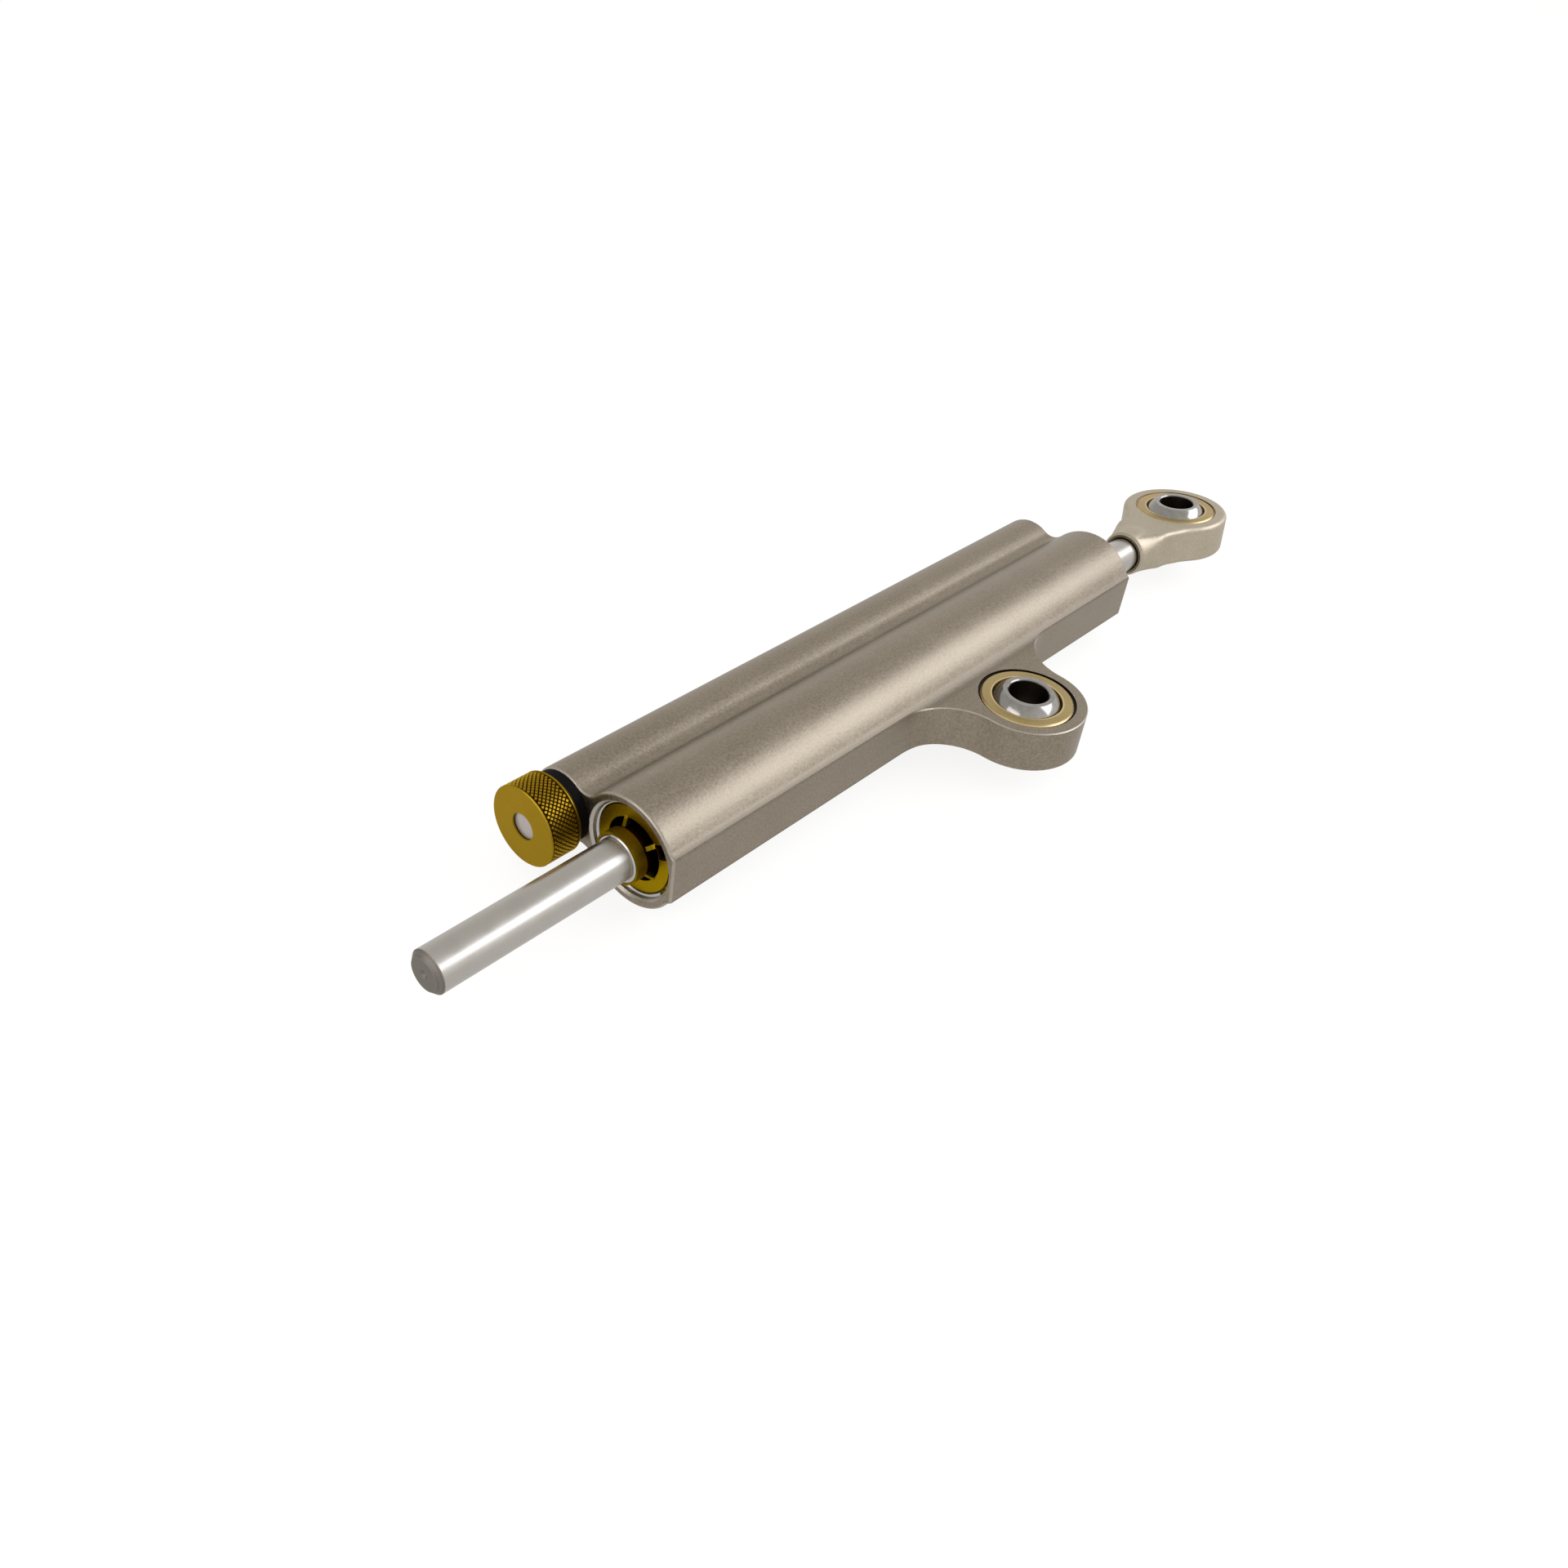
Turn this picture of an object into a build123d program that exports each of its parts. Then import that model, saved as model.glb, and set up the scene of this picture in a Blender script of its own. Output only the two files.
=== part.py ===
from build123d import *
import math
import os

# Motorcycle steering damper. A through rod slides in the bored barrel of an aluminium body,
# and a second, smaller bore beside the barrel holds the adjuster and the oil reservoir.
# The body's lug and the rod's eye each carry a spherical bearing.
# Sizes are millimetres. X runs along the rod towards its eye, Z along the lug's bearing,
# and the origin is the centre of the ball in the lug.

# Driving dimensions
rod_d = 8.0
barrel_d = 22.0
barrel_bore_d = 18.4
body_length = 147.0
lug_from_near_end = 87.7
lug_to_rod = 22.0
rod_to_adjuster = 16.4
side_tube_d = 14.2
plate_thickness = 9.0
flank_from_rod = 10.5
lug_d = 24.3
travel_in = 13.0
rod_behind = 42.5
eye_from_far_end = 41.1
rod_end_turn = -6.5

# Spherical bearings, the same in the lug and in the rod's eye
ball_d = 15.875
ball_width = 12.0
ball_bore_d = 8.0
race_d = 19.0
race_width = 9.0

# Clearances on the radius or at a face, and how far every cut runs past its solid
seat_gap = 0.01
slide_gap = 0.03
free_gap = 0.15
overrun = 1.0

# Places that several pieces share
near_x = -lug_from_near_end
far_x = near_x + body_length
rod_y = lug_to_rod
side_y = lug_to_rod + rod_to_adjuster
rod_r = rod_d / 2
bore_r = barrel_bore_d / 2
eye_x = far_x + eye_from_far_end


def turned(points, x, y):
    """An outline of (distance along, radius) points, spun about a line along X."""
    outline = make_face(Polyline(*points, close=True))
    return Pos(x, y, 0) * revolve(outline, axis=Axis.X)


def bar(length, radius, x, y):
    """A plain round bar along X that starts at x."""
    return Pos(x, y, 0) * extrude(Plane.YZ * Circle(radius), amount=length)


def tube(length, outer_r, inner_r, x, y):
    """A plain tube along X that starts at x."""
    return turned([(0, inner_r), (length, inner_r), (length, outer_r), (0, outer_r)], x, y)


def o_ring(inner_r, outer_r, x, y):
    """A round rubber ring about X that just fills the room between two radii."""
    section_r = (outer_r - inner_r) / 2 - seat_gap
    return Pos(x, y, 0) * Rot(0, 90, 0) * Torus((inner_r + outer_r) / 2, section_r)


def wire_ring(mean_r, wire_r, gap_angle, start_angle, x, y):
    """A round-wire snap ring about X, open over the gap angle."""
    section = Pos(0, mean_r) * Circle(wire_r)
    ring = revolve(section, axis=Axis.X, revolution_arc=360 - gap_angle)
    return Pos(x, y, 0) * Rot(start_angle, 0, 0) * ring


def at_far_end(piece):
    """The same piece at the other end of the body, facing the other way."""
    return mirror(piece, about=Plane.YZ.offset((near_x + far_x) / 2))


# Seal heads: how they stand in the barrel, and the wire rings that hold them
lip_depth = 1.3
head_length = 26.0
head_step = 0.95
snap_wire_d = 1.2
snap_bite = 0.5
snap_groove_play = 0.1
snap_gap_angle = 34.0
snap_start_angle = -143.0

snap_mean_r = bore_r - snap_wire_d / 2 + snap_bite
snap_x = near_x + lip_depth + head_step - snap_wire_d / 2 - seat_gap
head_step_r = snap_mean_r - snap_wire_d / 2 - free_gap
head_r = bore_r - slide_gap
chamber_start = near_x + lip_depth + head_length
chamber_end = far_x - lip_depth - head_length

# Side tube: the adjuster's bore at the near end, the oil way, and the reservoir at the far end
cartridge_r = 5.5
cartridge_depth = 26.0
oil_way_d = 6.0
reservoir_d = 10.4
reservoir_depth = 29.0
port_d = 2.5
port_from_bore = 4.0
port_plug_d = 4.0
port_plug_length = 2.6
port_plug_depth = 0.3

# End plug of the reservoir, and the wire ring that holds it in
plug_length = 6.0
plug_depth = 2.2
plug_wire_d = 1.0
plug_wire_bite = 0.4

# Body outside
end_fillet = 0.5
flank_edge = 0.2
bore_chamfer = 0.5
valley_fillet = 3.5
plate_fillet = 3.0
lug_spotface_margin = 0.4
lug_spotface_height = 2.8
lug_spotface_depth = 0.25

reservoir_x = far_x - reservoir_depth
port_places = (near_x + cartridge_depth + port_from_bore, reservoir_x - port_from_bore)
plug_ring_mean_r = reservoir_d / 2 - plug_wire_d / 2 + plug_wire_bite
plug_ring_x = far_x - plug_depth + plug_wire_d / 2 + seat_gap


def body_section():
    """The outline across the body: barrel, side tube, and the plate that becomes the lug."""
    plate_reach = lug_to_rod + lug_d / 2 + overrun
    barrel = Circle(barrel_d / 2)
    side_tube = Pos(rod_to_adjuster, 0) * Circle(side_tube_d / 2)
    plate = Pos(-plate_reach / 2, 0) * Rectangle(plate_reach, plate_thickness)
    outline = barrel + side_tube + plate
    valleys = [v for v in outline.vertices() if 0 < v.X < rod_to_adjuster]
    outline = fillet(valleys, valley_fillet)
    corners = [v for v in outline.vertices() if -barrel_d / 2 < v.X < -barrel_d / 4]
    return fillet(corners, plate_fillet)


def body_plan():
    """The outline from above: a straight flank that sweeps out into the round lug."""
    flank_y = lug_to_rod - flank_from_rod
    top_y = side_y + side_tube_d
    strip = Pos((near_x + far_x) / 2, (flank_y + top_y) / 2) * Rectangle(body_length, top_y - flank_y)
    sweep_x = lug_d / 2 + flank_y
    root = Pos(0, flank_y / 2) * Rectangle(2 * sweep_x, flank_y)
    for x in (-sweep_x, sweep_x):
        root -= Pos(x, 0) * Circle(flank_y)
    return strip + root + Circle(lug_d / 2)


def snap_groove(x):
    width = snap_wire_d + snap_groove_play
    return tube(width, snap_mean_r + snap_wire_d / 2 + seat_gap, bore_r - snap_bite, x - width / 2, rod_y)


def barrel_cuts():
    """The barrel's bore with its entry chamfers and the two snap ring grooves."""
    bore = bar(body_length + 2 * overrun, bore_r, near_x - overrun, rod_y)
    mouth_r = bore_r + bore_chamfer
    entry_points = [(0, 0), (0, mouth_r), (bore_chamfer, bore_r), (bore_chamfer, 0)]
    entry = turned(entry_points, near_x, rod_y)
    groove = snap_groove(snap_x)
    return bore + entry + groove + at_far_end(entry) + at_far_end(groove)


def side_cuts():
    """The side tube's bores and the two drillings that join them to the barrel."""
    cartridge_bore = bar(cartridge_depth + overrun, cartridge_r, near_x - overrun, side_y)
    oil_way = bar(body_length - reservoir_depth, oil_way_d / 2, near_x, side_y)
    reservoir = bar(reservoir_depth + overrun, reservoir_d / 2, reservoir_x, side_y)
    plug_groove = tube(
        plug_wire_d + snap_groove_play,
        plug_ring_mean_r + plug_wire_d / 2 + seat_gap,
        reservoir_d / 2 - plug_wire_bite,
        plug_ring_x - (plug_wire_d + snap_groove_play) / 2,
        side_y,
    )
    cuts = cartridge_bore + oil_way + reservoir + plug_groove
    for x in port_places:
        drilling_length = rod_to_adjuster + side_tube_d / 2 + overrun
        drilling = Pos(x, rod_y, 0) * extrude(Plane.XZ * Circle(port_d / 2), amount=-drilling_length)
        seat_start = side_y + side_tube_d / 2 - port_plug_depth - port_plug_length
        seat = Pos(x, seat_start, 0) * extrude(
            Plane.XZ * Circle(port_plug_d / 2 + seat_gap), amount=-(side_tube_d / 2)
        )
        cuts += drilling + seat
    return cuts


def is_upright(edge):
    """True for an edge that runs straight along Z."""
    return edge.geom_type == GeomType.LINE and abs((edge % 0).Z) > abs((edge % 0).X + (edge % 0).Y)


def is_milled_wall(face):
    """True for the upright walls that the plan cuts: flank, sweeps and the lug's rim."""
    middle = face.center()
    normal = face.normal_at(middle)
    level = abs(normal.Z) < seat_gap and abs(normal.X) < 1 - seat_gap
    return level and middle.Y < lug_to_rod - flank_from_rod + seat_gap


def milled_edges(shape):
    """The long edges of those walls, above and below, without the ones at the body's ends."""
    walls = [face for face in shape.faces() if is_milled_wall(face)]
    edges = [edge for face in walls for edge in face.edges() if not is_upright(edge)]
    inner_start, inner_end = near_x + seat_gap, far_x - seat_gap
    return [edge for edge in edges if inner_start < edge.center().X < inner_end]


def body():
    section = extrude(Plane.YZ * body_section(), amount=body_length)
    shape = Pos(near_x, rod_y, 0) * section
    plan = extrude(body_plan(), amount=barrel_d, both=True)
    shape = shape & plan
    shape = chamfer(milled_edges(shape), flank_edge)
    ends = shape.faces().filter_by(Axis.X)
    end_edges = ends.sort_by(Axis.X)[0].edges() + ends.sort_by(Axis.X)[-1].edges()
    shape = fillet(end_edges, end_fillet)
    shape -= barrel_cuts()
    shape -= side_cuts()
    shape -= Cylinder(race_d / 2, barrel_d)
    spot_r = race_d / 2 + lug_spotface_margin
    spotface = Pos(0, 0, plate_thickness / 2 - lug_spotface_depth) * Cylinder(
        spot_r, lug_spotface_height, align=(Align.CENTER, Align.CENTER, Align.MIN)
    )
    shape -= spotface
    shape -= mirror(spotface, about=Plane.XY)
    return shape


# Seal head details
hub_r = 5.0
hub_reach = 3.9
hub_collar_length = 2.3
hub_neck_r = 4.6
pocket_outer_r = 6.1
pocket_depth = 5.0
web_thickness = 0.8
web_count = 5
web_start_angle = 142.0
web_rise = 1.4
web_root = 0.3
spanner_slot_width = 2.9
spanner_slot_depth = 3.2
spanner_slot_angle = 153.0
head_groove_from_face = 18.0
head_groove_width = 2.4
head_groove_depth = 1.6
wiper_depth = 1.6
wiper_wall = 0.55
wiper_proud = 0.2
rod_seal_from_face = 6.0
rod_seal_length = 4.0
rod_seal_wall = 2.0
bush_from_seal = 4.0
bush_wall = 1.0


def seal_head():
    """The near seal head, with its hub, spanner pockets, and grooves for its seals."""
    throat_r = rod_r + free_gap
    wiper_r = rod_r + wiper_wall + seat_gap
    wiper_end = wiper_depth - hub_reach
    collar_end = hub_collar_length - hub_reach
    seal_r = rod_r + rod_seal_wall
    seal_end = rod_seal_from_face + rod_seal_length
    bush_r = rod_r + bush_wall
    bush_start = seal_end + bush_from_seal
    groove_r = head_r - head_groove_depth
    groove_end = head_groove_from_face + head_groove_width
    outline = [
        (-hub_reach, wiper_r), (-hub_reach, hub_r), (collar_end, hub_r),
        (collar_end, hub_neck_r), (pocket_depth, hub_neck_r),
        (pocket_depth, pocket_outer_r), (0, pocket_outer_r), (0, head_step_r),
        (head_step, head_step_r), (head_step, head_r),
        (head_groove_from_face, head_r), (head_groove_from_face, groove_r),
        (groove_end, groove_r), (groove_end, head_r), (head_length, head_r),
        (head_length, bush_r), (bush_start, bush_r), (bush_start, throat_r),
        (seal_end, throat_r), (seal_end, seal_r),
        (rod_seal_from_face, seal_r), (rod_seal_from_face, throat_r),
        (wiper_end, throat_r), (wiper_end, wiper_r),
    ]
    head = turned(outline, 0, 0)
    web_outline = [
        (-web_rise, hub_neck_r - web_root), (0, pocket_outer_r + web_root),
        (pocket_depth, pocket_outer_r + web_root), (pocket_depth, hub_neck_r - web_root),
    ]
    web = extrude(make_face(Polyline(*web_outline, close=True)), amount=web_thickness / 2, both=True)
    for number in range(web_count):
        head += Rot(web_start_angle + number * 360 / web_count, 0, 0) * web
    slot_height = head_r - pocket_outer_r + overrun
    slot = Pos(spanner_slot_depth / 2, pocket_outer_r + slot_height / 2, 0) * Box(
        spanner_slot_depth + web_root, slot_height, spanner_slot_width
    )
    for side in (0, 180):
        head -= Rot(spanner_slot_angle + side, 0, 0) * slot
    return Pos(near_x + lip_depth, rod_y, 0) * head


def snap_ring():
    return wire_ring(
        snap_mean_r, snap_wire_d / 2, snap_gap_angle, snap_start_angle, snap_x, rod_y
    )


def head_o_ring():
    middle = near_x + lip_depth + head_groove_from_face + head_groove_width / 2
    return o_ring(head_r - head_groove_depth, bore_r, middle, rod_y)


def guide_bush():
    from_face = rod_seal_from_face + rod_seal_length + bush_from_seal
    start = near_x + lip_depth + from_face
    length = head_length - from_face
    return tube(length, rod_r + bush_wall - seat_gap, rod_r + slide_gap, start, rod_y)


def rod_seal():
    """A lip seal: a ring with an open channel on its oil side."""
    outer = rod_r + rod_seal_wall - seat_gap
    inner = rod_r + slide_gap
    lip = (outer - inner) / 3
    length = rod_seal_length - 2 * seat_gap
    channel_end = length / 2
    outline = [
        (0, inner), (length, inner), (length, inner + lip), (channel_end, inner + lip),
        (channel_end, outer - lip), (length, outer - lip), (length, outer), (0, outer),
    ]
    return turned(outline, near_x + lip_depth + rod_seal_from_face + seat_gap, rod_y)


def rod_wiper():
    """The scraper ring in the hub's mouth, with a lip that leans on the rod."""
    start = near_x + lip_depth - hub_reach - wiper_proud
    outer = rod_r + wiper_wall
    inner = rod_r + slide_gap
    length = wiper_depth + wiper_proud - seat_gap
    outline = [
        (0, inner), (length, inner), (length, outer),
        (wiper_proud, outer), (0, outer - wiper_proud),
    ]
    return turned(outline, start, rod_y)


# Piston and what stands beside it on the rod
piston_length = 12.0
piston_chamfer = 0.5
ring_width = 4.0
ring_wall = 1.2
energiser_section = 1.1
ring_side_gap = 0.02
clip_thickness = 1.0
clip_bite = 0.4
clip_height = 1.3
clip_gap_angle = 60.0
sleeve_wall = 2.0
sleeve_length = 11.6
bump_length = 2.5
bump_wall = 2.6
stop_gap = 0.1
piston_seal_width = 1.8
piston_seal_depth = 1.0

clip_distance = piston_length / 2 + sleeve_length
stack_half = clip_distance + clip_thickness + bump_length
piston_x = chamber_start + stop_gap + travel_in + stack_half
piston_r = bore_r - free_gap
ring_outer_r = bore_r - slide_gap
ring_groove_r = ring_outer_r - ring_wall - energiser_section - 2 * slide_gap


def about_piston(piece):
    """A piece and its twin on the piston's other side, as one group."""
    return piece + mirror(piece, about=Plane.YZ.offset(piston_x))


def piston():
    half = piston_length / 2
    inner = rod_r + seat_gap
    groove_half = ring_width / 2 + ring_side_gap
    seal_half = piston_seal_width / 2
    outline = [
        (-half, inner), (-half, piston_r - piston_chamfer), (piston_chamfer - half, piston_r),
        (-groove_half, piston_r), (-groove_half, ring_groove_r),
        (groove_half, ring_groove_r), (groove_half, piston_r),
        (half - piston_chamfer, piston_r), (half, piston_r - piston_chamfer), (half, inner),
        (seal_half, inner), (seal_half, inner + piston_seal_depth),
        (-seal_half, inner + piston_seal_depth), (-seal_half, inner),
    ]
    return turned(outline, piston_x, rod_y)


def piston_seal():
    return o_ring(rod_r, rod_r + seat_gap + piston_seal_depth, piston_x, rod_y)


def piston_ring():
    start = piston_x - ring_width / 2
    return tube(ring_width, ring_outer_r, ring_outer_r - ring_wall, start, rod_y)


def ring_energiser():
    inner = ring_groove_r + slide_gap
    return o_ring(inner, ring_outer_r - ring_wall, piston_x, rod_y)


def stop_sleeves():
    start = piston_x + piston_length / 2
    sleeve = tube(sleeve_length, rod_r + sleeve_wall, rod_r + seat_gap, start, rod_y)
    return about_piston(sleeve)


def rod_clips():
    """Snap rings of flat section in grooves of the rod, open on one side."""
    inner = rod_r - clip_bite + seat_gap
    start = piston_x + clip_distance
    section_points = [
        (0, inner), (clip_thickness, inner),
        (clip_thickness, rod_r + clip_height), (0, rod_r + clip_height),
    ]
    section = make_face(Polyline(*section_points, close=True))
    clip = Pos(start, rod_y, 0) * revolve(section, axis=Axis.X, revolution_arc=360 - clip_gap_angle)
    return about_piston(clip)


def bump_rings():
    start = piston_x + clip_distance + clip_thickness
    ring = tube(bump_length, rod_r + bump_wall, rod_r + seat_gap, start, rod_y)
    return about_piston(ring)


# Rod, and the rod end that its far end screws into
tip_chamfer = 0.95
centre_hole_d = 1.8
centre_hole_depth = 0.6
rod_socket_depth = 3.0
socket_gap = 0.25
spigot_d = 6.0
spigot_length = 9.0
spigot_chamfer = 0.6
shank_from_eye = 24.5
shank_d = 10.6
shank_edge = 0.5
shank_collar_length = 1.2
eye_d = 25.0
eye_thickness = 9.0
eye_edge = 1.1
eye_root_from_centre = 14.5
eye_root_width = 10.8
eye_root_blend = 6.0
neck_flare_length = 8.0
neck_flare_r = 6.6
shank_round_length = 4.5
shank_taper_length = 6.0
shank_taper = 1.3
eye_mouth_margin = 0.25
eye_mouth_depth = 0.5
hole_end_play = 0.5

shank_x = eye_x - shank_from_eye


def rod():
    start = near_x - rod_behind
    shoulder = shank_x + rod_socket_depth - seat_gap
    groove_r = rod_r - clip_bite
    near_groove = piston_x - clip_distance - clip_thickness - seat_gap
    far_groove = piston_x + clip_distance - seat_gap
    groove_width = clip_thickness + 2 * seat_gap
    spigot_r = spigot_d / 2
    spigot_end = shoulder + spigot_length
    outline = [
        (start, 0), (start, rod_r - tip_chamfer), (start + tip_chamfer, rod_r),
        (near_groove, rod_r), (near_groove, groove_r),
        (near_groove + groove_width, groove_r), (near_groove + groove_width, rod_r),
        (far_groove, rod_r), (far_groove, groove_r),
        (far_groove + groove_width, groove_r), (far_groove + groove_width, rod_r),
        (shoulder, rod_r), (shoulder, spigot_r),
        (spigot_end - spigot_chamfer, spigot_r), (spigot_end, spigot_r - spigot_chamfer),
        (spigot_end, 0),
    ]
    centre_r = centre_hole_d / 2
    centre = turned([(0, 0), (0, centre_r), (centre_hole_depth, 0)], start, rod_y)
    return turned(outline, 0, rod_y) - centre


def rod_end_place(piece):
    """A piece drawn about the eye's centre, set at the rod's end and turned with it."""
    return Pos(eye_x, rod_y, 0) * Rot(rod_end_turn, 0, 0) * piece


def eye_plan():
    """From above: the round eye, tangent flanks to the root line, and the neck behind it."""
    half_root = eye_root_width / 2
    root = Line((-eye_root_from_centre, -half_root), (-eye_root_from_centre, half_root))
    eye = make_hull(Circle(eye_d / 2).edges() + root.edges())
    neck_length = shank_from_eye - shank_collar_length - eye_root_from_centre
    neck = Pos(-eye_root_from_centre - neck_length / 2, 0) * Rectangle(neck_length, eye_root_width)
    plan = eye + neck
    corners = [v for v in plan.vertices() if abs(v.X + eye_root_from_centre) < seat_gap]
    return fillet(corners, eye_root_blend)


def flat_eye():
    """The plan as a plate with rounded rims, its neck trimmed by a flare to suit the shank."""
    plate = extrude(eye_plan(), amount=eye_thickness / 2, both=True)
    flats = plate.faces().sort_by(Axis.Z)
    neck_start = shank_collar_length - shank_from_eye
    rims = [
        edge for edge in flats[0].edges() + flats[-1].edges()
        if edge.center().X > neck_start + seat_gap
    ]
    plate = fillet(rims, eye_edge)
    reach = shank_from_eye + eye_d
    outline = [
        (shank_collar_length, 0), (shank_collar_length, shank_d / 2),
        (neck_flare_length, neck_flare_r), (shank_from_eye - eye_d / 2, eye_d),
        (reach, eye_d), (reach, 0),
    ]
    return plate & turned(outline, -shank_from_eye, 0)


def round_shank():
    """The round shank, which tapers down into the flats of the eye."""
    shank_r = shank_d / 2
    taper_end = shank_round_length + shank_taper_length
    outline = [
        (0, 0), (0, shank_r - shank_edge), (shank_edge, shank_r),
        (shank_round_length, shank_r), (taper_end, shank_r - shank_taper), (taper_end, 0),
    ]
    return turned(outline, -shank_from_eye, 0)


def rod_end_housing():
    """The eye and the round shank, with the socket that the rod screws into."""
    socket = bar(rod_socket_depth + overrun, rod_r + socket_gap, -shank_from_eye - overrun, 0)
    thread_depth = rod_socket_depth + spigot_length + hole_end_play
    thread = bar(thread_depth, spigot_d / 2 + seat_gap, -shank_from_eye, 0)
    housing = flat_eye() + round_shank() - socket - thread - Cylinder(race_d / 2, eye_d)
    mouth = Pos(0, 0, eye_thickness / 2 - eye_mouth_depth) * Cylinder(
        race_d / 2 + eye_mouth_margin, overrun, align=(Align.CENTER, Align.CENTER, Align.MIN)
    )
    housing -= mouth
    housing -= mirror(mouth, about=Plane.XY)
    return rod_end_place(housing)


# Bearing race and ball
race_edge = 0.4
race_mouth_d = 14.2
ball_edge = 0.3


def bearing_race():
    """The outer ring of a spherical bearing about Z, with a round seat for the ball."""
    ring = Cylinder(race_d / 2 - seat_gap, race_width)
    ring = chamfer(ring.edges(), race_edge)
    ring -= Sphere(ball_d / 2 + slide_gap)
    return ring - Cylinder(race_mouth_d / 2, race_width + overrun)


def bearing_ball():
    ball = Sphere(ball_d / 2) & Box(ball_d, ball_d, ball_width)
    ball -= Cylinder(ball_bore_d / 2, ball_width + overrun)
    circles = ball.edges().filter_by(GeomType.CIRCLE)
    rims = [edge for edge in circles if abs(edge.radius - ball_bore_d / 2) < seat_gap]
    return chamfer(rims, ball_edge)


# Adjuster: distances forward of the body's near end are negative
knob_d = 15.5
knob_front = -9.1
knob_back = -2.2
knob_front_edge = 0.2
knob_back_edge = 0.6
knob_cavity_d = 11.0
knob_floor = -6.4
knob_hole_d = 5.2
knob_hole_depth = 1.4
plug_disc_thickness = 0.4
plug_disc_recess = 0.55
knob_drive_d = 3.2
click_count = 24
click_circle_r = 3.0
click_depth = 0.25
detent_ball_d = 1.5
detent_rest_gap = 0.02
detent_pocket_depth = 4.6
detent_wire_d = 0.22
detent_turns = 4
neck_r = 4.4
neck_front_gap = 0.12
spindle_d = 3.0
spindle_body_d = 6.4
spindle_body_start = 3.0
spindle_body_length = 15.0
spindle_groove_from_start = 3.0
spindle_groove_width = 1.5
spindle_groove_depth = 0.9
nut_depth = 9.0
needle_back_gap = 0.4
needle_thread_d = 3.0
needle_stem_d = 2.4
needle_tip_d = 0.8
needle_travel = 1.5
needle_cone = 3.5
needle_guide_d = 4.2
seat_from_port = 4.0
seat_length = 4.0
seat_hole_d = 2.4
screw_head_d = 4.0
screw_head_height = 0.45
screw_d = 1.6
screw_length = 5.0
housing_groove_from_end = 14.0
housing_groove_width = 1.8
housing_groove_depth = 1.1
dust_ring_d = 13.6
dust_ring_gap = 0.1

seat_from_end = cartridge_depth + port_from_bore + seat_from_port


def on_side_axis(distance):
    """The X of a place given by its distance from the body's near end."""
    return near_x + distance


def click_dimples():
    """A ring of shallow round dimples in the knob's floor, one for each click."""
    ball_r = detent_ball_d / 2
    middle_x = on_side_axis(knob_floor) + ball_r - click_depth
    dimple = Pos(middle_x, side_y + click_circle_r, 0) * Sphere(ball_r + seat_gap)
    dimples = []
    for number in range(click_count):
        turn = Pos(0, side_y, 0) * Rot(number * 360 / click_count, 0, 0) * Pos(0, -side_y, 0)
        dimples.append(turn * dimple)
    return dimples


def knob():
    front = on_side_axis(knob_front)
    length = knob_back - knob_front
    r = knob_d / 2
    cavity_r = knob_cavity_d / 2
    hole_r = knob_hole_d / 2
    drive_r = knob_drive_d / 2 + seat_gap
    floor = knob_floor - knob_front
    outline = [
        (0, hole_r), (0, r - knob_front_edge), (knob_front_edge, r),
        (length - knob_back_edge, r), (length, r - knob_back_edge), (length, cavity_r),
        (floor, cavity_r), (floor, drive_r),
        (knob_hole_depth, drive_r), (knob_hole_depth, hole_r),
    ]
    shape = turned(outline, front, side_y)
    for dimple in click_dimples():
        shape -= dimple
    return shape


def knob_plug():
    start = on_side_axis(knob_front + plug_disc_recess)
    return bar(plug_disc_thickness, knob_hole_d / 2 - seat_gap, start, side_y)


def knob_screw():
    head_end = on_side_axis(knob_front + knob_hole_depth)
    head = bar(screw_head_height, screw_head_d / 2, head_end - screw_head_height, side_y)
    return head + bar(screw_length, screw_d / 2, head_end, side_y)


def adjuster_spindle():
    """The spindle turns in the housing: the screw holds the knob on its front end."""
    front = knob_front + knob_hole_depth
    body_end = spindle_body_start + spindle_body_length
    groove = spindle_body_start + spindle_groove_from_start
    body_r = spindle_body_d / 2
    neck = knob_drive_d / 2
    screw_r = screw_d / 2 + seat_gap
    screw_end = front + screw_length + hole_end_play
    nut_r = needle_thread_d / 2 + slide_gap
    nut_start = body_end - nut_depth
    outline = [
        (front, screw_r), (front, neck), (knob_floor, neck), (knob_floor, spindle_d / 2),
        (spindle_body_start, spindle_d / 2), (spindle_body_start, body_r),
        (groove, body_r), (groove, body_r - spindle_groove_depth),
        (groove + spindle_groove_width, body_r - spindle_groove_depth),
        (groove + spindle_groove_width, body_r), (body_end, body_r), (body_end, nut_r),
        (nut_start, nut_r), (nut_start, 0), (screw_end, 0), (screw_end, screw_r),
    ]
    return turned(outline, near_x, side_y)


def spindle_o_ring():
    middle = spindle_body_start + spindle_groove_from_start + spindle_groove_width / 2
    inner = spindle_body_d / 2 - spindle_groove_depth
    return o_ring(inner, spindle_body_d / 2, on_side_axis(middle), side_y)


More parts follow.
